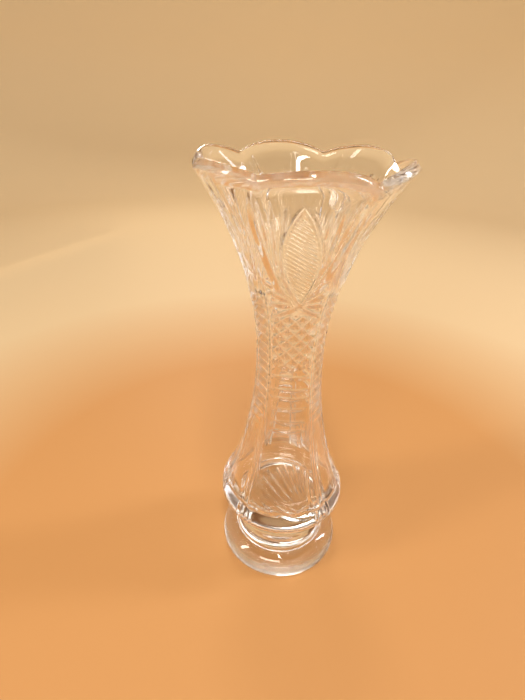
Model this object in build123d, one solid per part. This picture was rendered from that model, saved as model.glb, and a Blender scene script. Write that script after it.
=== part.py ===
from build123d import *
from math import cos, radians, sin, tan
import os

# A footed vase in clear cut crystal: a trumpet mouth with a lobed, bevelled rim, a narrow
# waist, a bulb with a thick bottom, a short solid knop and a round foot.
# Millimetres, +Z up. The origin is the centre of the ring that the foot stands on.
# The middle of the main cut panel faces -Y.

# Heights above the table
total_height = 230.0
foot_height = 12.0
knop_waist_height = 22.0
vessel_base_height = 33.0
cavity_floor_height = 39.5
bulb_height = 44.0
upper_bulb_height = 54.0
shoulder_height = 68.0
neck_height = 136.0

# Outer radii at those heights
foot_radius = 36.0
foot_top_radius = 27.5
knop_waist_radius = 26.0
vessel_base_radius = 28.5
bulb_radius = 36.2
upper_bulb_radius = 32.8
shoulder_radius = 27.2
neck_radius = 17.1
rim_radius = 47.8

# Wall of the vessel, square to the axis, and the rounded bottom of the cavity
rim_wall = 5.2
neck_wall = 4.6
bulb_wall = 5.0
cavity_floor_radius = 20.0
cavity_corner_height = 46.5
cavity_corner_radius = 29.3

# Foot: rounded edge, and the hollow ground into its underside
foot_edge_height = 3.2
foot_edge_round = 1.4
foot_hollow_radius = 25.0
foot_hollow_depth = 1.6

# Directions in which the curved outlines set out, outwards and up
bulb_start = (1, 0, 0.9)
cavity_floor_start = (1, 0, 0.3)
foot_top_start = (1, 0, -0.35)
foot_edge_finish = (0.25, 0, -1)

# Rim: six lobes, each an arc, ground to a wide bevel that faces outwards
lobe_count = 6
lobe_rise = 4.2
lip_width = 0.9
bevel_tilt = 50.0
first_lobe_angle = 8.0

# Cut pattern: three wide panels, each with a narrow column of notches beside it
panel_count = 3
panel_half_angle = 40.0
cut_depth = 0.8
rib_width = 1.3
rib_above_bulb = 4.0
rib_past_oval = 4.0
rib_to_cut = 0.9

# Pointed oval on the trumpet
oval_above_neck = 38.0
oval_below_rim = 13.0
oval_width = 17.0
oval_line_width = 2.6

# Star of long rays at the foot of the oval
star_below_oval = 1.5
star_past_lattice = 3.5
star_ray_width = 1.5
star_ray_angles = [8.0, 30.0, -24.0]

# Lattice of crossed cuts between the neck and the star
lattice_below_star = 4.5
lattice_pitch = 4.5
lattice_slant = 45.0
lattice_line_width = 1.2

# Rungs below the lattice
rungs_below_neck = [4.0, 11.5, 16.5, 23.0, 30.0, 35.0]
rung_inside_lattice = 0.5
rung_line_width = 1.5

# Notches in the columns between the panels
notch_above_neck = 2.0
notch_pitch = 5.0
notch_line_width = 2.0
notch_count = 8

# Worked out from the sizes above
oval_base_height = neck_height + oval_above_neck
oval_tip_height = total_height - oval_below_rim
star_height = oval_base_height - star_below_oval
lattice_high_height = star_height - lattice_below_star
column_half_angle = 180.0 / panel_count - panel_half_angle
lattice_half_width = neck_radius * sin(radians(panel_half_angle)) - rib_width / 2 - rib_to_cut
star_ray_length = lattice_half_width + star_past_lattice
rung_half_width = lattice_half_width - rung_inside_lattice
notch_half_width = neck_radius * sin(radians(column_half_angle)) - rib_width / 2 - rib_to_cut
rib_foot_height = bulb_height + rib_above_bulb
rib_top_height = oval_base_height + rib_past_oval
lobe_angle = 360.0 / lobe_count
panel_angle = 360.0 / panel_count
past_rim = 20.0
beyond_glass = rim_radius + past_rim
seam_angle = first_lobe_angle - 90 + lobe_angle


def turned(outline):
    """A solid turned about Z from the edges of a closed half outline in the XZ plane.

    It starts and ends under the middle of a lobe, clear of the notches.
    """
    return Rot(0, 0, seam_angle) * revolve(make_face(outline), Axis.Z)


def waist_and_trumpet(shoulder, neck, rim):
    """The arcs below and above the neck. Both stand upright where they meet."""
    neck_point = (neck, 0, neck_height)
    below = TangentArc(neck_point, (shoulder, 0, shoulder_height), tangent=(0, 0, -1))
    above = TangentArc(neck_point, (rim, 0, total_height), tangent=(0, 0, 1))
    return [below, above]


def turned_blank(inset=0.0):
    """The solid form inside the vessel's outside, with every radius less by the inset."""
    base = vessel_base_radius - inset
    rim = rim_radius - inset
    waist, trumpet = waist_and_trumpet(shoulder_radius - inset, neck_radius - inset, rim)
    into_bulb = waist % 1
    bulb = Spline(
        (base, 0, vessel_base_height),
        (bulb_radius - inset, 0, bulb_height),
        (upper_bulb_radius - inset, 0, upper_bulb_height),
        (shoulder_radius - inset, 0, shoulder_height),
        tangents=[bulb_start, (-into_bulb.X, 0, -into_bulb.Z)],
    )
    outline = [
        bulb,
        waist,
        trumpet,
        Line((rim, 0, total_height), (0, 0, total_height)),
        Line((0, 0, total_height), (0, 0, vessel_base_height)),
        Line((0, 0, vessel_base_height), (base, 0, vessel_base_height)),
    ]
    return turned(outline)


def cavity():
    """The hollow, open at the rim, with a thick bottom left under it."""
    shoulder = shoulder_radius - bulb_wall
    rim = rim_radius - rim_wall
    waist, trumpet = waist_and_trumpet(shoulder, neck_radius - neck_wall, rim)
    into_bulb = waist % 1
    bottom = Spline(
        (cavity_floor_radius, 0, cavity_floor_height),
        (cavity_corner_radius, 0, cavity_corner_height),
        (shoulder, 0, shoulder_height),
        tangents=[cavity_floor_start, (-into_bulb.X, 0, -into_bulb.Z)],
    )
    outline = [
        bottom,
        waist,
        trumpet,
        Line((rim, 0, total_height), (0, 0, total_height)),
        Line((0, 0, total_height), (0, 0, cavity_floor_height)),
        Line((0, 0, cavity_floor_height), (cavity_floor_radius, 0, cavity_floor_height)),
    ]
    return turned(outline)


def lobe_grinder(tilt):
    """What the wheel takes off one lobe at one tilt, drawn with the lobe's middle on +X.

    It is the lobe's wedge of the space round the rim, less a round bar. The bar's axis runs
    outwards and dips by the tilt, and its highest line passes through the lip at the lobe's top.
    Its radius keeps the ground face on the lip, which bends round the axis and drops to a notch
    at each side.
    """
    lip_radius = rim_radius - rim_wall + lip_width
    half_chord = lip_radius * sin(radians(lobe_angle / 2))
    lobe_radius = (half_chord**2 + lobe_rise**2) / (2 * lobe_rise)
    bar_radius = 1 / (sin(radians(tilt)) / lip_radius + cos(radians(tilt)) / lobe_radius)
    wedge_side = beyond_glass * tan(radians(lobe_angle / 2))
    wedge = Polygon((0, 0), (beyond_glass, -wedge_side), (beyond_glass, wedge_side), align=None)
    wedge = Pos(0, 0, total_height - past_rim) * extrude(wedge, amount=beyond_glass)
    bar = Pos(bar_radius, 0, 0) * Cylinder(bar_radius, 6 * beyond_glass)
    return wedge - Pos(lip_radius, 0, total_height) * Rot(0, 90 + tilt, 0) * bar


def lobed_rim(vessel):
    """The rim cut to lobes and bevelled."""
    for tilt in (0, bevel_tilt):
        grinder = lobe_grinder(tilt)
        for lobe in range(lobe_count):
            vessel = vessel - Rot(0, 0, first_lobe_angle - 90 + lobe * lobe_angle) * grinder
    return vessel


def oval_line():
    """The outline of the pointed oval: one lens less a narrower lens."""
    middle = (oval_base_height + oval_tip_height) / 2
    half_height = (oval_tip_height - oval_base_height) / 2

    def lens(half_width, half_length):
        arc_radius = (half_width**2 + half_length**2) / (2 * half_width)
        left = Pos(arc_radius - half_width, middle) * Circle(arc_radius)
        right = Pos(half_width - arc_radius, middle) * Circle(arc_radius)
        return left & right

    inner_half_width = oval_width / 2 - oval_line_width
    inner_half_length = half_height * inner_half_width / (oval_width / 2)
    return lens(oval_width / 2, half_height) - lens(inner_half_width, inner_half_length)


def star():
    """Long pointed rays in mirrored pairs."""
    rays = Sketch()
    for angle in star_ray_angles:
        for side in (angle, 180.0 - angle):
            ray = Polygon(
                (0, -star_ray_width / 2),
                (star_ray_length, 0),
                (0, star_ray_width / 2),
                align=None,
            )
            rays = rays + Pos(0, star_height) * Rot(0, 0, side) * ray
    return rays


def lattice():
    """Two sets of parallel cuts that cross to leave raised diamonds."""
    width = 2 * lattice_half_width
    height = lattice_high_height - neck_height
    middle = (lattice_high_height + neck_height) / 2
    reach = width + height
    line_count = int(reach / lattice_pitch / 2)
    lines = Sketch()
    for step in range(-line_count, line_count + 1):
        strip = Pos(step * lattice_pitch, 0) * Rectangle(lattice_line_width, reach)
        lines = lines + Rot(0, 0, lattice_slant) * strip
        lines = lines + Rot(0, 0, -lattice_slant) * strip
    return Pos(0, middle) * (lines & Rectangle(width, height))


def rungs():
    """Level cuts one above the other."""
    bars = Sketch()
    for drop in rungs_below_neck:
        bars = bars + Pos(0, neck_height - drop) * Rectangle(2 * rung_half_width, rung_line_width)
    return bars


def notches():
    """The short level cuts of one column."""
    bars = Sketch()
    for step in range(notch_count):
        height = neck_height + notch_above_neck + step * notch_pitch
        bars = bars + Pos(0, height) * Rectangle(2 * notch_half_width, notch_line_width)
    return bars


def wheel_cut(drawing, core):
    """A drawing on the XZ plane, cut into the glass from -Y down to the core's surface."""
    return extrude(Plane.XZ * drawing, amount=beyond_glass) - core


def rib_cut(core):
    """One long upright cut, drawn at the panel's middle."""
    length = rib_top_height - rib_foot_height
    middle = (rib_top_height + rib_foot_height) / 2
    return wheel_cut(Pos(0, middle) * Rectangle(rib_width, length), core)


def cut_pattern(vessel):
    """The vessel with all the cuts of the three panels and the three columns."""
    core = turned_blank(cut_depth)
    panel_cuts = [wheel_cut(drawing, core) for drawing in (oval_line() + star(), lattice(), rungs())]
    notch_cut = wheel_cut(notches(), core)
    rib = rib_cut(core)
    for panel in range(panel_count):
        turn = panel * panel_angle
        for cut in panel_cuts:
            vessel = vessel - Rot(0, 0, turn) * cut
        vessel = vessel - Rot(0, 0, turn + panel_half_angle) * rib
        vessel = vessel - Rot(0, 0, turn - panel_half_angle) * rib
        vessel = vessel - Rot(0, 0, turn + panel_angle / 2) * notch_cut
    return vessel


def make_vessel():
    """The open body: bulb, waist and trumpet."""
    vessel = lobed_rim(turned_blank() - cavity())
    return cut_pattern(vessel)


def make_knop():
    """The short solid waist that joins the vessel to its foot."""
    outline = [
        Spline(
            (foot_top_radius, 0, foot_height),
            (knop_waist_radius, 0, knop_waist_height),
            (vessel_base_radius, 0, vessel_base_height),
        ),
        Line((vessel_base_radius, 0, vessel_base_height), (0, 0, vessel_base_height)),
        Line((0, 0, vessel_base_height), (0, 0, foot_height)),
        Line((0, 0, foot_height), (foot_top_radius, 0, foot_height)),
    ]
    return turned(outline)


def make_foot():
    """The round foot: a ground ring, a shallow hollow inside it, and a rounded top."""
    outline = [
        Line((0, 0, 0), (0, 0, foot_height)),
        Line((0, 0, foot_height), (foot_top_radius, 0, foot_height)),
        Spline(
            (foot_top_radius, 0, foot_height),
            (foot_radius, 0, foot_edge_height),
            tangents=[foot_top_start, foot_edge_finish],
        ),
        Line((foot_radius, 0, foot_edge_height), (foot_radius, 0, foot_edge_round)),
        Line((foot_radius, 0, foot_edge_round), (foot_radius - foot_edge_round, 0, 0)),
        Line((foot_radius - foot_edge_round, 0, 0), (0, 0, 0)),
    ]
    hollow_sphere = (foot_hollow_radius**2 + foot_hollow_depth**2) / (2 * foot_hollow_depth)
    hollow = Pos(0, 0, foot_hollow_depth - hollow_sphere) * Sphere(hollow_sphere)
    return turned(outline) - hollow


def write_parts():
    os.makedirs("parts", exist_ok=True)
    pieces = {
        "vessel": make_vessel(),
        "joining_knop": make_knop(),
        "foot": make_foot(),
    }
    for name, piece in pieces.items():
        export_step(piece, os.path.join("parts", name + ".step"))


write_parts()
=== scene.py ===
import math
import bpy
import numpy as np
from mathutils import Matrix, Vector


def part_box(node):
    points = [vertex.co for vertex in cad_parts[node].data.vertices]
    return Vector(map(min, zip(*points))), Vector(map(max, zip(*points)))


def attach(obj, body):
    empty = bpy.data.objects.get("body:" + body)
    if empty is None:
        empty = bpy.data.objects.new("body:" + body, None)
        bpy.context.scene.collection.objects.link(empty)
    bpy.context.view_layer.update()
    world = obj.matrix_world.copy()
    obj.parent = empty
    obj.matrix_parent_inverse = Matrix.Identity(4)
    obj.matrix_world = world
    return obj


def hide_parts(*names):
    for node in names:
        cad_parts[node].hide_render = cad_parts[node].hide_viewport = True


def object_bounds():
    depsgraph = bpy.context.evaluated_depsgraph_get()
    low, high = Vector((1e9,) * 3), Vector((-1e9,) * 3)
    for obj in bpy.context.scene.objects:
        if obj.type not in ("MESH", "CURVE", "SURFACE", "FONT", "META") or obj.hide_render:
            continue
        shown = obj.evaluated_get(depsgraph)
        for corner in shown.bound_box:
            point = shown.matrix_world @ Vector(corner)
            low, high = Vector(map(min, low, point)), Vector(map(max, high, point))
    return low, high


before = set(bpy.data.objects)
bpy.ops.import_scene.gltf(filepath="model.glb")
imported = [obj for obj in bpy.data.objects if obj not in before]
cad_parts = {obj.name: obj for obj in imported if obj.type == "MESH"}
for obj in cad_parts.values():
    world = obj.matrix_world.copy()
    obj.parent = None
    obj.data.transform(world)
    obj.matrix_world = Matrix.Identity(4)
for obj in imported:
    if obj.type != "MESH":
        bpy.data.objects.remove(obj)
cadLow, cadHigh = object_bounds()

mm = 0.001
tall = (cadHigh.z - cadLow.z) / mm                 # the whole vase, in millimetres
vesselLow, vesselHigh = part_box("vessel")
knopLow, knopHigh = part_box("joining_knop")
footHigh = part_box("foot")[1]
print("frame loaded, vase", round(tall, 1), "mm tall")


def putMesh(name, verts, faces, mats, matIndex):
    # a new object from points in millimetres and lists of point numbers, shaded smooth
    mesh = bpy.data.meshes.new(name)
    mesh.from_pydata((verts * mm).tolist(), [], faces)
    mesh.polygons.foreach_set("material_index", matIndex)
    mesh.polygons.foreach_set("use_smooth", np.ones(len(faces), bool))
    for mat in mats:
        mesh.materials.append(mat)
    mesh.update()
    piece = bpy.data.objects.new(name, mesh)
    bpy.context.scene.collection.objects.link(piece)
    return piece


def ringFaces(rows, cols):
    # quads between neighbouring rings, wound so that they face outwards when the rings go up the outside
    i, j = np.meshgrid(np.arange(rows - 1), np.arange(cols), indexing="ij")
    k = (j + 1) % cols
    quads = np.stack([i * cols + j, i * cols + k, (i + 1) * cols + k, (i + 1) * cols + j], -1)
    return quads.reshape(-1, 4).tolist()


def capFaces(ringStart, cols, pole, flip):
    # triangles from one ring to a point on the axis
    here = ringStart + np.arange(cols)
    after = ringStart + (np.arange(cols) + 1) % cols
    first, second = (after, here) if flip else (here, after)
    return np.stack([first, second, np.full(cols, pole)], -1).tolist()


def lathe(radius, height, angle):
    # each point is the radius and height turned to its angle, with angle 0 facing -Y
    return np.stack([radius * np.sin(angle), -radius * np.cos(angle), height + 0 * angle], -1)


def hermite(z, stations):
    # a smooth radius through (height, radius, slope) stations: between each two it is the cubic
    # that has the radius and the slope of both
    st = np.array(stations, float)
    k = np.clip(np.searchsorted(st[:, 0], z, side="right") - 1, 0, len(st) - 2)
    z0, r0, m0 = st[k, 0], st[k, 1], st[k, 2]
    z1, r1, m1 = st[k + 1, 0], st[k + 1, 1], st[k + 1, 2]
    d = z1 - z0
    t = np.clip((z - z0) / d, 0, 1)
    return ((2 * t**3 - 3 * t**2 + 1) * r0 + (t**3 - 2 * t**2 + t) * d * m0
            + (3 * t**2 - 2 * t**3) * r1 + (t**3 - t**2) * d * m1)


# clear lead crystal. A finish's waves are noise scale, detail, stretch, bump strength and height;
# its haze is noise scale, detail, least and most roughness
crystal = {"tint": (0.985, 0.985, 0.98), "ior": 1.54, "hazeFrom": 0.35, "hazeTo": 0.7}
cutFinish = {"waves": (55, 2, (1, 1, 0.35), 0.12, 0.0006), "haze": (140, 4, 0.0, 0.03)}
bevelFinish = {"waves": (160, 3, (1, 1, 6), 0.25, 0.0003), "haze": (300, 4, 0.02, 0.12)}
thickFinish = {"waves": (40, 1, (1, 1, 1), 0.15, 0.0007), "haze": (120, 3, 0.0, 0.025)}
ringFinish = {"haze": (900, 5, 0.2, 0.28)}


def noiseFrom(mat, scale, detail, stretch=(1, 1, 1)):
    # noise on Object coordinates, in metres, stretched by a Mapping node
    nodes, links = mat.node_tree.nodes, mat.node_tree.links
    coord = nodes.new("ShaderNodeTexCoord")
    place = nodes.new("ShaderNodeMapping")
    place.inputs["Scale"].default_value = stretch
    noise = nodes.new("ShaderNodeTexNoise")
    noise.inputs["Scale"].default_value = scale
    noise.inputs["Detail"].default_value = detail
    links.new(coord.outputs["Object"], place.inputs["Vector"])
    links.new(place.outputs["Vector"], noise.inputs["Vector"])
    return noise


def addWaves(mat, bsdf, scale, detail, stretch, strength, distance):
    # slow ripples: the noise as a bump
    nodes, links = mat.node_tree.nodes, mat.node_tree.links
    noise = noiseFrom(mat, scale, detail, stretch)
    bump = nodes.new("ShaderNodeBump")
    bump.inputs["Strength"].default_value = strength
    bump.inputs["Distance"].default_value = distance
    links.new(noise.outputs["Fac"], bump.inputs["Height"])
    links.new(bump.outputs["Normal"], bsdf.inputs["Normal"])


def addHaze(mat, bsdf, scale, detail, least, most):
    # uneven polish: the noise spread over a range of roughness
    nodes, links = mat.node_tree.nodes, mat.node_tree.links
    noise = noiseFrom(mat, scale, detail)
    span = nodes.new("ShaderNodeMapRange")
    span.inputs["From Min"].default_value = crystal["hazeFrom"]
    span.inputs["From Max"].default_value = crystal["hazeTo"]
    span.inputs["To Min"].default_value = least
    span.inputs["To Max"].default_value = most
    links.new(noise.outputs["Fac"], span.inputs["Value"])
    links.new(span.outputs["Result"], bsdf.inputs["Roughness"])


def makeCrystal(name, finish):
    # clear glass with the waves and the haze of its finish
    mat = bpy.data.materials.new(name)
    mat.use_nodes = True
    bsdf = mat.node_tree.nodes["Principled BSDF"]
    bsdf.inputs["Base Color"].default_value = (*crystal["tint"], 1)
    bsdf.inputs["Transmission Weight"].default_value = 1
    bsdf.inputs["IOR"].default_value = crystal["ior"]
    bsdf.inputs["Roughness"].default_value = 0
    if "waves" in finish:
        addWaves(mat, bsdf, *finish["waves"])
    addHaze(mat, bsdf, *finish["haze"])
    return mat


def makeHotJoint():
    # the glass is one where the gathers are joined, so light goes straight through this face
    mat = bpy.data.materials.new("hotJoint")
    mat.use_nodes = True
    nodes = mat.node_tree.nodes
    nodes.clear()
    clear = nodes.new("ShaderNodeBsdfTransparent")
    out = nodes.new("ShaderNodeOutputMaterial")
    mat.node_tree.links.new(clear.outputs["BSDF"], out.inputs["Surface"])
    return mat


cutCrystal = makeCrystal("cutCrystal", cutFinish)        # faint waviness of blown glass
groundBevel = makeCrystal("groundBevel", bevelFinish)    # faint streaks that the wheel left
knopCrystal = makeCrystal("knopCrystal", thickFinish)
footCrystal = makeCrystal("footCrystal", thickFinish)
groundRing = makeCrystal("groundRing", ringFinish)       # fine grinding and shelf wear, half frosted
hotJoint = makeHotJoint()
print("materials made")

# the vessel's plain form, in millimetres
form = {
    "baseHeight": vesselLow.z / mm,
    "rimHeight": vesselHigh.z / mm,
    "neckHeight": 136.0, "neckRadius": 17.1,
    "rimRadius": 47.8,
    "shoulderHeight": 68.0, "shoulderRadius": 27.2,
    "bulb": [(33.0, 28.5, 1.4), (38.0, 33.9, 0.75), (44.0, 36.2, 0.0), (54.0, 32.9, -0.44),
             (68.0, 27.2, -0.30)],
    "rimWall": 5.2, "neckWall": 4.6, "bulbWall": 5.0,
    "floorHeight": 39.5, "cornerHeight": 49.0,
    "bulbInside": [(49.0, 29.4, 0.0), (54.0, 28.0, -0.45), (68.0, 22.2, -0.32)],
    "notchTurns": [-25.0, 38.0, 101.0, 161.0, 221.0, 278.0],   # where the lobes meet, ground by eye
    "notchDrops": [2.6, 5.4, 4.3, 4.2, 4.2, 3.7],
    "lipWidth": 0.9, "bevelDrop": 2.9,
}


def archedRadius(z, neckRadius, farRadius, farHeight):
    # a circle's arc that stands upright at the neck and reaches the far radius at the far height
    dr, dz = farRadius - neckRadius, farHeight - form["neckHeight"]
    arc = (dr * dr + dz * dz) / (2 * dr)
    return neckRadius + arc - np.sqrt(np.maximum(arc * arc - (z - form["neckHeight"]) ** 2, 0))


def outsideRadius(z):
    # bulb, then the arc below the neck, then the arc above it
    low = hermite(z, form["bulb"])
    waist = archedRadius(z, form["neckRadius"], form["shoulderRadius"], form["shoulderHeight"])
    horn = archedRadius(z, form["neckRadius"], form["rimRadius"], form["rimHeight"])
    return np.where(z < form["shoulderHeight"], low, np.where(z < form["neckHeight"], waist, horn))


def insideRadius(z):
    # the same arcs less the wall, and the bulb's inside below the shoulder
    neck = form["neckRadius"] - form["neckWall"]
    shoulder = form["shoulderRadius"] - form["bulbWall"]
    waist = archedRadius(z, neck, shoulder, form["shoulderHeight"])
    horn = archedRadius(z, neck, form["rimRadius"] - form["rimWall"], form["rimHeight"])
    low = hermite(z, form["bulbInside"])
    return np.where(z < form["shoulderHeight"], low, np.where(z < form["neckHeight"], waist, horn))


def lipHeight(angle):
    # the rim's height: from each lobe's middle it falls as a parabola to the notch on either side
    turns = np.radians(form["notchTurns"] + [form["notchTurns"][0] + 360])
    drops = np.array(form["notchDrops"] + form["notchDrops"][:1])
    onward = turns[0] + (angle - turns[0]) % (2 * math.pi)
    k = np.clip(np.searchsorted(turns, onward, side="right") - 1, 0, len(turns) - 2)
    share = 2 * (onward - turns[k]) / (turns[k + 1] - turns[k]) - 1
    return form["rimHeight"] - np.where(share < 0, drops[k], drops[k + 1]) * share**2


# wheel cuts. u is the distance round the glass from the panel's middle, z the height. Where a
# groove runs out, its half width stops at the thinnest
thinnest = 1e-6


def mitre(distance, halfWidth, depth):
    # a V groove: its depth falls evenly with the distance from its line to nothing at its half width
    return depth * np.clip(1 - np.abs(distance) / np.maximum(halfWidth, thinnest), 0, 1)


def stroke(u, z, start, end, halfWidth, depth, bow=0.0):
    # a long pointed cut from start to end. Its width and depth swell as a half ellipse to its
    # middle, and its line is bowed sideways as a parabola
    du, dz = end[0] - start[0], end[1] - start[1]
    length = math.hypot(du, dz)
    along = ((u - start[0]) * du + (z - start[1]) * dz) / length**2
    across = ((u - start[0]) * dz - (z - start[1]) * du) / length
    inside = np.clip(4 * along * (1 - along), 0, 1)
    swell = np.sqrt(inside)
    return mitre(across - bow * inside, halfWidth * swell, depth * swell)


oval = {
    "foot": (1.6, 173.0), "tip": (-1.6, 217.0), "halfWidth": 8.0,
    "lineHalfWidth": 2.0, "depth": 1.5,
    "hatchPitch": 2.0, "hatchSlope": 0.62, "hatchDepth": 0.5, "hatchGap": 1.1, "hatchFade": 0.5,
    "roundness": 0.8, "overrun": 1.0,
}


def ovalCut(u, z):
    # the outline of a pointed oval, whose half width is a sine of the height to a power, and
    # fine parallel cuts inside it as a saw wave
    z0, z1 = oval["foot"][1], oval["tip"][1]
    t = np.clip((z - z0) / (z1 - z0), 0, 1)
    middle = oval["foot"][0] + (oval["tip"][0] - oval["foot"][0]) * t
    half = oval["halfWidth"] * np.sin(math.pi * t) ** oval["roundness"]
    reach = np.where((z > z0 - oval["overrun"]) & (z < z1 + oval["overrun"]), 1.0, 0.0)
    line = mitre(np.abs(u - middle) - half, oval["lineHalfWidth"], oval["depth"]) * reach
    phase = (z + oval["hatchSlope"] * (u - middle)) / oval["hatchPitch"]
    saw = np.abs((phase % 1) * 2 - 1)
    within = np.clip((half - oval["hatchGap"] - np.abs(u - middle)) / oval["hatchFade"], 0, 1)
    return np.maximum(line, oval["hatchDepth"] * saw * within * reach)


tulip = {"turn": 32.0, "widestHeight": 207.0, "footHeight": 172.0, "topHeight": 226.0,
         "power": 0.65, "halfWidth": 1.9, "depth": 1.5, "steepening": 2.2, "steepest": 6.0,
         "topFade": 12.0, "footFade": 6.0}


def tulipCut(angle, z):
    # two curved cuts that leave the star together, open like a tulip and run up to the rim:
    # the lean is one less the square of the height from the widest, to a power
    t = (z - tulip["widestHeight"]) / (tulip["widestHeight"] - tulip["footHeight"])
    lean = math.radians(tulip["turn"]) * np.clip(1 - t * t, 0, 1) ** tulip["power"]
    across = (np.abs(angle) - lean) * outsideRadius(z)
    steep = 1 / np.sqrt(1 + np.clip(tulip["steepening"] * np.maximum(-t, 0) ** 2, 0, tulip["steepest"]))
    fade = np.clip((tulip["topHeight"] - z) / tulip["topFade"], 0, 1)
    fade = fade * np.clip((z - tulip["footHeight"]) / tulip["footFade"], 0, 1)
    return mitre(across * steep, tulip["halfWidth"] * fade, tulip["depth"] * fade)


flames = {"feet": [(12.5, 203.0), (20.5, 187.0), (25.5, 194.0)],
          "tips": [(10.5, 218.0), (18.5, 219.5), (26.5, 221.0)],
          "halfWidth": 1.6, "depth": 1.2}


def flameCuts(angle, z, radius):
    # upright pointed flutes between the oval and the tulip, the same on both sides
    cut = 0
    for foot, tip in zip(flames["feet"], flames["tips"]):
        share = np.clip((z - foot[1]) / (tip[1] - foot[1]), 0, 1)
        lean = np.radians(foot[0] + (tip[0] - foot[0]) * share)
        swell = np.sqrt(np.clip(4 * share * (1 - share), 0, 1))
        across = (np.abs(angle) - lean) * radius
        cut = np.maximum(cut, mitre(across, flames["halfWidth"] * swell, flames["depth"] * swell))
    return cut


star = {"heart": (0.8, 172.5), "halfWidth": 1.3, "depth": 1.35,
        "ends": [(13.5, 178.5), (12.6, 172.0), (11.0, 165.5), (9.2, 188.0), (12.2, 184.0)]}


def starCuts(u, z):
    # long pointed rays from one heart, in mirrored pairs
    cut = 0
    for reach, height in star["ends"]:
        for side in (-1, 1):
            end = (star["heart"][0] + side * reach, height)
            cut = np.maximum(cut, stroke(u, z, star["heart"], end, star["halfWidth"], star["depth"]))
    return cut


lattice = {"low": 136.0, "high": 167.5, "sideTurn": 36.0, "pitch": 4.8, "halfWidth": 1.6, "depth": 1.4,
           "arch": 4.0, "sideFade": 60.0}


def latticeCut(u, z, angle):
    # two sets of parallel mitres that cross and leave raised diamonds
    side = np.clip((math.radians(lattice["sideTurn"]) - np.abs(angle)) * lattice["sideFade"], 0, 1)
    share = angle / math.radians(lattice["sideTurn"])
    high = lattice["high"] - lattice["arch"] * share**2
    low = lattice["low"] + lattice["arch"] * share**2
    within = side * np.clip(high - z, 0, 1) * np.clip(z - low, 0, 1)
    cut = 0
    for slant in (-1, 1):
        across = (z - lattice["low"] + slant * u) / math.sqrt(2)
        near = (across + lattice["pitch"] / 2) % lattice["pitch"] - lattice["pitch"] / 2
        cut = np.maximum(cut, mitre(near, lattice["halfWidth"], lattice["depth"]))
    return cut * within


rungs = {"heights": [132.0, 124.5, 119.6, 113.4, 106.0, 100.8], "halfLength": 9.6, "halfWidth": 1.3,
         "depth": 1.1, "slant": 0.3}


def rungCuts(u, z):
    # level pointed cuts one under the other
    cut = 0
    for height in rungs["heights"]:
        left = (-rungs["halfLength"], height + rungs["slant"])
        right = (rungs["halfLength"], height - rungs["slant"])
        cut = np.maximum(cut, stroke(u, z, left, right, rungs["halfWidth"], rungs["depth"]))
    return cut


ribs = {"turns": [38.5, 43.5], "low": 46.0, "high": 181.0, "halfWidth": 1.3, "depth": 1.3,
        "lowFade": 8.0, "highFade": 14.0}


def ribCuts(angle, z, radius):
    # upright mitres in pairs, which part the panels from the columns
    fade = np.clip((z - ribs["low"]) / ribs["lowFade"], 0, 1)
    fade = np.sqrt(fade * np.clip((ribs["high"] - z) / ribs["highFade"], 0, 1))
    cut = 0
    for turn in ribs["turns"]:
        across = (np.abs(angle) - math.radians(turn)) * radius
        cut = np.maximum(cut, mitre(across, ribs["halfWidth"] * fade, ribs["depth"] * fade))
    return cut


rope = {"turn": 60.0, "halfTurn": 15.0, "pitch": 5.0, "low": 99.0, "high": 176.0, "depth": 1.8,
        "sideFade": 30.0, "lowFade": 12.0, "highFade": 3.0}


def ropeCut(angle, z):
    # a column of level notches that meet edge to edge, as a saw wave up the glass
    off = np.abs(np.abs(angle) - math.radians(rope["turn"]))
    side = np.clip((math.radians(rope["halfTurn"]) - off) * rope["sideFade"], 0, 1)
    phase = (z - rope["low"]) / rope["pitch"]
    saw = 1 - np.abs((phase % 1) * 2 - 1)
    ends = np.clip((z - rope["low"]) / rope["lowFade"], 0, 1)
    ends = ends * np.clip((rope["high"] - z) / rope["highFade"], 0, 1)
    return rope["depth"] * saw * side * ends


plumes = {"turn": 60.0, "spread": [0.0, 6.5, 13.0, 19.5], "gather": 0.45, "low": 177.0, "high": 223.0,
          "shorter": 5.0, "halfWidth": 1.8, "depth": 1.5}


def plumeCuts(angle, z, radius):
    # long mitres that fan out above each column, up to the notches of the rim
    off = np.abs(np.abs(angle) - math.radians(plumes["turn"]))
    cut = 0
    for step, spread in enumerate(plumes["spread"]):
        top = plumes["high"] - step * plumes["shorter"]
        share = np.clip((z - plumes["low"]) / (top - plumes["low"]), 0, 1)
        lean = np.radians(spread * (plumes["gather"] + (1 - plumes["gather"]) * share))
        swell = np.sqrt(np.clip(4 * share * (1 - share), 0, 1))
        across = (off - lean) * radius
        cut = np.maximum(cut, mitre(across, plumes["halfWidth"] * swell, plumes["depth"] * swell))
    return cut


palm = {"heart": (17.5, 49.0),
        "ends": [(-15.0, 60.0), (-14.5, 66.0), (-13.5, 72.0), (-10.0, 76.0), (-5.0, 79.0),
                 (-1.0, 80.5), (3.5, 81.0), (8.0, 79.5), (12.0, 76.0)],
        "halfWidth": 1.5, "depth": 1.35, "bow": -2.2}


def palmCuts(u, z):
    # a palm of fine bowed cuts across the bulb, from the foot of one rib
    cut = 0
    for end in palm["ends"]:
        line = stroke(u, z, palm["heart"], end, palm["halfWidth"], palm["depth"], palm["bow"])
        cut = np.maximum(cut, line)
    return cut


nicks = {"turns": [31.0, 35.5, 40.0, 44.5], "low": 40.0, "high": 52.0, "halfWidth": 1.2, "depth": 1.3}


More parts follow.
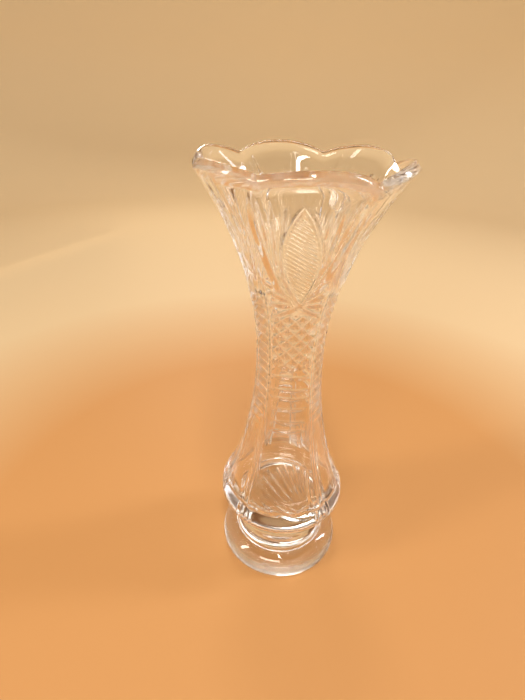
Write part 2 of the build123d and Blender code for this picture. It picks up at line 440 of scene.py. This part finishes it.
def nickCuts(angle, z, radius):
    # short upright nicks at the foot of each pair of ribs
    share = np.clip((z - nicks["low"]) / (nicks["high"] - nicks["low"]), 0, 1)
    swell = np.sqrt(np.clip(4 * share * (1 - share), 0, 1))
    cut = 0
    for turn in nicks["turns"]:
        across = (np.abs(angle) - math.radians(turn)) * radius
        cut = np.maximum(cut, mitre(across, nicks["halfWidth"] * swell, nicks["depth"] * swell))
    return cut


def cutDepth(angle, z):
    # the deepest of all the cuts at each point, with the pattern three times round
    third = 2 * math.pi / 3
    a = (angle + third / 2) % third - third / 2
    radius = outsideRadius(z)
    u = a * radius
    cuts = [ovalCut(u, z), tulipCut(a, z), flameCuts(a, z, radius), starCuts(u, z), latticeCut(u, z, a),
            rungCuts(u, z), ribCuts(a, z, radius), ropeCut(a, z), plumeCuts(a, z, radius), palmCuts(u, z),
            nickCuts(a, z, radius)]
    deepest = cuts[0]
    for cut in cuts[1:]:
        deepest = np.maximum(deepest, cut)
    return deepest


# rows and columns of the vessel's surface; the outside rows are (from height, to height, how many)
vesselGrid = {"columns": 288, "crowding": 0.35, "straightTo": 214.0, "baseFade": 3.0,
              "outsideRows": [(33.0, 60.0, 36), (60.0, 96.0, 44), (96.0, 178.0, 118), (178.0, 214.0, 88)],
              "flareRows": 16, "insideRows": 26, "bottomRows": 9, "bottomRoundness": 0.7}


def makeVessel():
    # rings up the outside with all its cuts, over the bevel and the lip, and down the inside to
    # the thick bottom, each ring's radius from the two outlines above
    cols = vesselGrid["columns"]
    even = np.arange(cols) * 2 * math.pi / cols
    angle = even - vesselGrid["crowding"] / 3 * np.sin(3 * even)    # closer together in the three panels
    lip = lipHeight(angle)
    edge = lip - form["bevelDrop"]
    rows = [np.linspace(a, b, n, endpoint=False) for a, b, n in vesselGrid["outsideRows"]]
    heights = np.concatenate(rows)
    heights[0] = form["baseHeight"]
    z = np.repeat(heights[:, None], cols, 1)
    flare = np.linspace(0, 1, vesselGrid["flareRows"])[:, None]
    z = np.vstack([z, vesselGrid["straightTo"] + flare * (edge - vesselGrid["straightTo"])])
    a = np.repeat(angle[None, :], len(z), 0)
    fade = np.clip((z - form["baseHeight"]) / vesselGrid["baseFade"], 0, 1)
    outside = lathe(outsideRadius(z) - cutDepth(a, z) * fade, z, a)
    # the lip's two edges, then the inside from the rim down to the corner of the floor
    lipIn = insideRadius(lip)
    ringOut = lathe(lipIn + form["lipWidth"], lip, angle)[None]
    down = np.linspace(0, 1, vesselGrid["insideRows"])[:, None]
    low = form["cornerHeight"]
    zin = lip + (low - lip) * down
    inside = lathe(insideRadius(zin), zin, np.repeat(angle[None, :], len(zin), 0))
    # the cavity's rounded bottom: a quarter of an ellipse, made fuller by a power
    sweep = np.linspace(0, math.pi / 2, vesselGrid["bottomRows"])[1:-1][:, None]
    cornerRadius = insideRadius(np.array(low))
    bottomR = cornerRadius * np.cos(sweep) ** vesselGrid["bottomRoundness"]
    bottomZ = low - (low - form["floorHeight"]) * np.sin(sweep)
    bottom = lathe(bottomR + 0 * angle, bottomZ + 0 * angle, np.repeat(angle[None, :], len(sweep), 0))
    rings = np.vstack([outside, ringOut, inside, bottom])
    verts = rings.reshape(-1, 3)
    faces = ringFaces(len(rings), cols)
    matIndex = np.zeros(len(faces), int)
    bevelRow = len(outside) - 1
    matIndex[bevelRow * cols:(bevelRow + 2) * cols] = 1
    floorPole, basePole = len(verts), len(verts) + 1
    verts = np.vstack([verts, [[0, 0, form["floorHeight"]], [0, 0, form["baseHeight"]]]])
    faces += capFaces((len(rings) - 1) * cols, cols, floorPole, False)
    faces += capFaces(0, cols, basePole, True)
    matIndex = np.concatenate([matIndex, np.zeros(cols, int), np.full(cols, 2)])
    return putMesh("cutVessel", verts, faces, [cutCrystal, groundBevel, hotJoint], matIndex)


vessel = makeVessel()
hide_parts("vessel")
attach(vessel, "root")
print("vessel cut,", len(vessel.data.polygons), "faces")

# the profile's stations are (height, radius, slope)
knopForm = {"profile": [(12.0, 27.5, -0.9), (22.0, 26.0, 0.0), (33.0, 28.5, 0.9)], "columns": 160, "rows": 30}


def makeKnop():
    # a short solid waist, turned from its three stations and closed by the two hot joints
    cols = knopForm["columns"]
    angle = np.arange(cols) * 2 * math.pi / cols
    z = np.linspace(knopLow.z / mm, knopHigh.z / mm, knopForm["rows"])[:, None]
    rings = lathe(hermite(z, knopForm["profile"]) + 0 * angle, z + 0 * angle, angle + 0 * z)
    verts = np.vstack([rings.reshape(-1, 3), [[0, 0, knopHigh.z / mm], [0, 0, knopLow.z / mm]]])
    faces = ringFaces(len(rings), cols)
    sides = len(faces)
    top, under = len(verts) - 2, len(verts) - 1
    faces += capFaces((len(rings) - 1) * cols, cols, top, False)
    faces += capFaces(0, cols, under, True)
    matIndex = np.concatenate([np.zeros(sides, int), np.ones(2 * cols, int)])
    return putMesh("joiningKnop", verts, faces, [knopCrystal, hotJoint], matIndex)


knop = makeKnop()
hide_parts("joining_knop")
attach(knop, "root")

footForm = {"radius": 36.0, "topRadius": 27.5, "edgeHeight": 3.2, "edgeRound": 1.4, "hollowRadius": 25.0,
            "hollowDepth": 1.6, "flatness": 1.25, "columns": 192, "hollowRows": 8, "edgeRows": 6,
            "topRows": 22}


def makeFoot():
    # rounded top, rounded edge, standing ring and the hollow under it, as one turned outline
    cols = footForm["columns"]
    angle = np.arange(cols) * 2 * math.pi / cols
    top = footHigh.z / mm
    # hollow: a parabola of the radius, from near the axis out to the ring
    hr = np.linspace(footForm["hollowRadius"] / footForm["hollowRows"], footForm["hollowRadius"],
                     footForm["hollowRows"])
    hz = footForm["hollowDepth"] * (1 - (hr / footForm["hollowRadius"]) ** 2)
    # ring, then the edge rounded in a quarter of a circle
    soft = footForm["edgeRound"]
    turn = np.linspace(0, math.pi / 2, footForm["edgeRows"])
    er = footForm["radius"] - soft + soft * np.sin(turn)
    ez = soft - soft * np.cos(turn)
    # the rounded top: a quarter of an ellipse, a little flattened, from the edge up to the knop
    t = np.linspace(0, math.pi / 2, footForm["topRows"])
    reach = footForm["radius"] - footForm["topRadius"]
    sr = footForm["topRadius"] + reach * np.cos(t) ** footForm["flatness"]
    sz = footForm["edgeHeight"] + (top - footForm["edgeHeight"]) * np.sin(t) ** footForm["flatness"]
    r = np.concatenate([hr, er, sr])[:, None]
    z = np.concatenate([hz, ez, sz])[:, None]
    rings = lathe(r + 0 * angle, z + 0 * angle, angle + 0 * z)
    verts = np.vstack([rings.reshape(-1, 3), [[0, 0, top], [0, 0, footForm["hollowDepth"]]]])
    faces = ringFaces(len(rings), cols)
    matIndex = np.zeros(len(faces), int)
    matIndex[(len(hr) - 1) * cols:len(hr) * cols] = 1
    faces += capFaces((len(rings) - 1) * cols, cols, len(verts) - 2, False)
    faces += capFaces(0, cols, len(verts) - 1, True)
    matIndex = np.concatenate([matIndex, np.full(cols, 2), np.zeros(cols, int)])
    return putMesh("roundFoot", verts, faces, [footCrystal, groundRing, hotJoint], matIndex)


foot = makeFoot()
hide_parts("foot")
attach(foot, "root")
print("knop and foot made")

# the studio, in metres but for the gap under the foot; colours are (distance from the vase, colour), and the
# last one turns the top of the wall dark brown as painted shade of a dim room, which the glass shows as dark
# lines
studio = {"gap": 0.15, "floorRadius": 0.95, "coveRadius": 0.35, "wallHeight": 0.95, "farthest": 1.7,
          "columns": 128, "floorRows": 20, "innermost": 0.02, "bendRows": 16,
          "roughness": 0.55, "specular": 0.25, "roomColour": (0.32, 0.19, 0.10), "roomStrength": 0.4,
          "colours": [(0.20, (0.52, 0.27, 0.105)), (0.38, (0.66, 0.49, 0.29)), (1.25, (0.80, 0.63, 0.40)),
                      (1.38, (0.80, 0.63, 0.40)), (1.47, (0.26, 0.13, 0.055))]}


def makeCove():
    # a flat floor that turns up into a wall all round in a quarter of a circle, as one surface
    cols = studio["columns"]
    angle = np.arange(cols) * 2 * math.pi / cols
    flat = np.linspace(studio["innermost"], 1, studio["floorRows"]) * studio["floorRadius"]
    bend = np.linspace(0, math.pi / 2, studio["bendRows"])[1:]
    outermost = studio["floorRadius"] + studio["coveRadius"]
    r = np.concatenate([flat, studio["floorRadius"] + studio["coveRadius"] * np.sin(bend), [outermost]])
    z = np.concatenate([0 * flat, studio["coveRadius"] * (1 - np.cos(bend)), [studio["wallHeight"]]])
    r, z = r[:, None], z[:, None]
    rings = lathe(r + 0 * angle, z + 0 * angle, angle + 0 * z)
    verts = np.vstack([rings.reshape(-1, 3), [[0, 0, 0]]]) / mm - np.array([0, 0, studio["gap"]])
    faces = np.array(ringFaces(len(rings), cols))[:, ::-1].tolist()
    faces += capFaces(0, cols, len(verts) - 1, False)
    mat = bpy.data.materials.new("paleFloor")
    mat.use_nodes = True
    nodes, links = mat.node_tree.nodes, mat.node_tree.links
    bsdf = nodes["Principled BSDF"]
    bsdf.inputs["Roughness"].default_value = studio["roughness"]
    bsdf.inputs["Specular IOR Level"].default_value = studio["specular"]
    coord = nodes.new("ShaderNodeTexCoord")
    away = nodes.new("ShaderNodeVectorMath")
    away.operation = "LENGTH"
    # the ramp's last stop is painted shade: it darkens the top of the wall to dark brown
    ramp = nodes.new("ShaderNodeValToRGB")
    while len(ramp.color_ramp.elements) < len(studio["colours"]):
        ramp.color_ramp.elements.new(0.5)
    for stop, (distance, colour) in zip(ramp.color_ramp.elements, studio["colours"]):
        stop.position = distance / studio["farthest"]
        stop.color = (*colour, 1)
    span = nodes.new("ShaderNodeMapRange")
    span.inputs["From Max"].default_value = studio["farthest"]
    links.new(coord.outputs["Object"], away.inputs[0])    # colour by distance from the vase
    links.new(away.outputs["Value"], span.inputs["Value"])
    links.new(span.outputs["Result"], ramp.inputs["Fac"])
    links.new(ramp.outputs["Color"], bsdf.inputs["Base Color"])
    return putMesh("paleCove", verts, faces, [mat], np.zeros(len(faces), int))


cove = makeCove()


def softLight(name, place, aim, size, power, colour, shines=True):
    # a rectangular lamp; one that doesn't shine lights the floor and leaves no highlight on the glass
    data = bpy.data.lights.new(name, "AREA")
    data.shape = "RECTANGLE"
    data.size, data.size_y = size
    data.energy = power
    data.color = colour
    lamp = bpy.data.objects.new(name, data)
    lamp.location = place
    lamp.rotation_euler = (Vector(aim) - Vector(place)).to_track_quat("-Z", "Y").to_euler()
    lamp.visible_glossy = shines
    bpy.context.scene.collection.objects.link(lamp)
    return lamp


lamps = {
    "overheadSoftbox": {"place": (-0.3, 0.1, 1.3), "aim": (0, 0, 0), "size": (1.0, 1.0), "power": 2.5,
                        "colour": (1.0, 0.95, 0.87), "shines": False},
    "overheadGlow": {"place": (0.3, 0.1, 1.3), "aim": (0, 0, 0), "size": (1.0, 1.0), "power": 8,
                     "colour": (1.0, 0.95, 0.87), "shines": False},
    "mouthStrip": {"place": (0.02, -0.36, 0.95), "aim": (0, 0, 0.2), "size": (0.06, 0.4), "power": 3,
                   "colour": (1.0, 0.98, 0.95)},
    "frontSoftbox": {"place": (-0.25, -0.8, 0.7), "aim": (0, 0, 0.1), "size": (0.6, 0.2), "power": 4.5,
                     "colour": (1.0, 0.97, 0.92)},
    "leftStrip": {"place": (-0.75, -0.25, 0.55), "aim": (0, 0, 0.12), "size": (0.1, 0.5), "power": 3,
                  "colour": (1.0, 0.96, 0.9)},
    "rightStrip": {"place": (0.8, 0.15, 0.6), "aim": (0, 0, 0.12), "size": (0.1, 0.5), "power": 4,
                   "colour": (0.84, 0.88, 1.0)},
    "farStrip": {"place": (-0.15, 0.9, 0.6), "aim": (0, 0, 0.15), "size": (0.4, 0.08), "power": 3,
                 "colour": (1.0, 0.96, 0.9)},
}
made = {name: softLight(name, **lamp) for name, lamp in lamps.items()}

# only the cove stops the glow, so that light reaches the floor under the clear foot
opaque = bpy.data.collections.new("opaque")
opaque.objects.link(cove)
made["overheadGlow"].light_linking.blocker_collection = opaque

cards = {
    "leftFlag": {"place": (-0.5, 0.28, 0.4), "width": 0.85, "height": 0.76},
    "rightFlag": {"place": (0.5, -0.35, 0.4), "width": 0.6, "height": 0.76},
    "nearFlag": {"place": (0.1, -0.95, 0.45), "width": 1.5, "height": 0.8},
}
cardColour = (0.06, 0.022, 0.008)


def darkFlag(name, place, width, height):
    # a dark card that only the glass sees; it faces the vase and draws dark lines in the cuts
    turn = math.atan2(place[1], place[0])
    across = np.array([-math.sin(turn), math.cos(turn), 0]) * width / 2
    corners = [np.array(place) + side * across + np.array([0, 0, up * height / 2])
               for side, up in ((-1, -1), (1, -1), (1, 1), (-1, 1))]
    mat = bpy.data.materials.new(name)
    mat.use_nodes = True
    mat.node_tree.nodes["Principled BSDF"].inputs["Base Color"].default_value = (*cardColour, 1)
    flag = putMesh(name, np.array(corners) / mm, [(0, 1, 2, 3)], [mat], np.zeros(1, int))
    flag.visible_camera = False
    flag.visible_shadow = False


for name, card in cards.items():
    darkFlag(name, **card)

world = bpy.data.worlds.new("softRoom")
bpy.context.scene.world = world
world.use_nodes = True
backdrop = world.node_tree.nodes["Background"]
backdrop.inputs["Color"].default_value = (*studio["roomColour"], 1)
backdrop.inputs["Strength"].default_value = studio["roomStrength"]

# the camera's place in units of the vase's height, and its turns in degrees
shot = {"away": 0.826, "up": 1.101, "round": -5.0, "yaw": -4.2, "pitch": 31.45, "roll": 1.64, "lens": 22.52,
        "nearest": 0.01}


def makeCamera():
    # the frame of the view: turned round the vase, then by yaw, pitch and roll
    turn = Matrix.Rotation(math.radians(shot["round"]), 3, "Z")
    yaw, pitch, roll = (math.radians(shot[k]) for k in ("yaw", "pitch", "roll"))
    ahead = Vector((math.sin(yaw) * math.cos(pitch), math.cos(yaw) * math.cos(pitch), -math.sin(pitch)))
    right = Vector((math.cos(yaw), -math.sin(yaw), 0))
    above = right.cross(ahead)
    side = math.cos(roll) * right + math.sin(roll) * above
    above = -math.sin(roll) * right + math.cos(roll) * above
    side, above, ahead = turn @ side, turn @ above, turn @ ahead
    place = turn @ Vector((0, -shot["away"], shot["up"])) * (tall * mm)
    data = bpy.data.cameras.new("camera")
    data.lens = shot["lens"]
    data.clip_start = shot["nearest"]
    camera = bpy.data.objects.new("camera", data)
    pose = Matrix((side, above, -ahead)).transposed().to_4x4()
    pose.translation = place
    camera.matrix_world = pose
    bpy.context.scene.collection.objects.link(camera)
    bpy.context.scene.camera = camera


makeCamera()

tone = {"transform": "Standard", "look": "Medium High Contrast", "exposure": -0.35}
glassBounces = 48         # light crosses many cut faces before it leaves the vase
clearBounces = 24

scene = bpy.context.scene
scene.view_settings.view_transform = tone["transform"]
scene.view_settings.look = tone["look"]
scene.view_settings.exposure = tone["exposure"]
scene.cycles.max_bounces = glassBounces
scene.cycles.transmission_bounces = glassBounces
scene.cycles.glossy_bounces = glassBounces
scene.cycles.transparent_max_bounces = clearBounces
print("studio, lights and camera set")
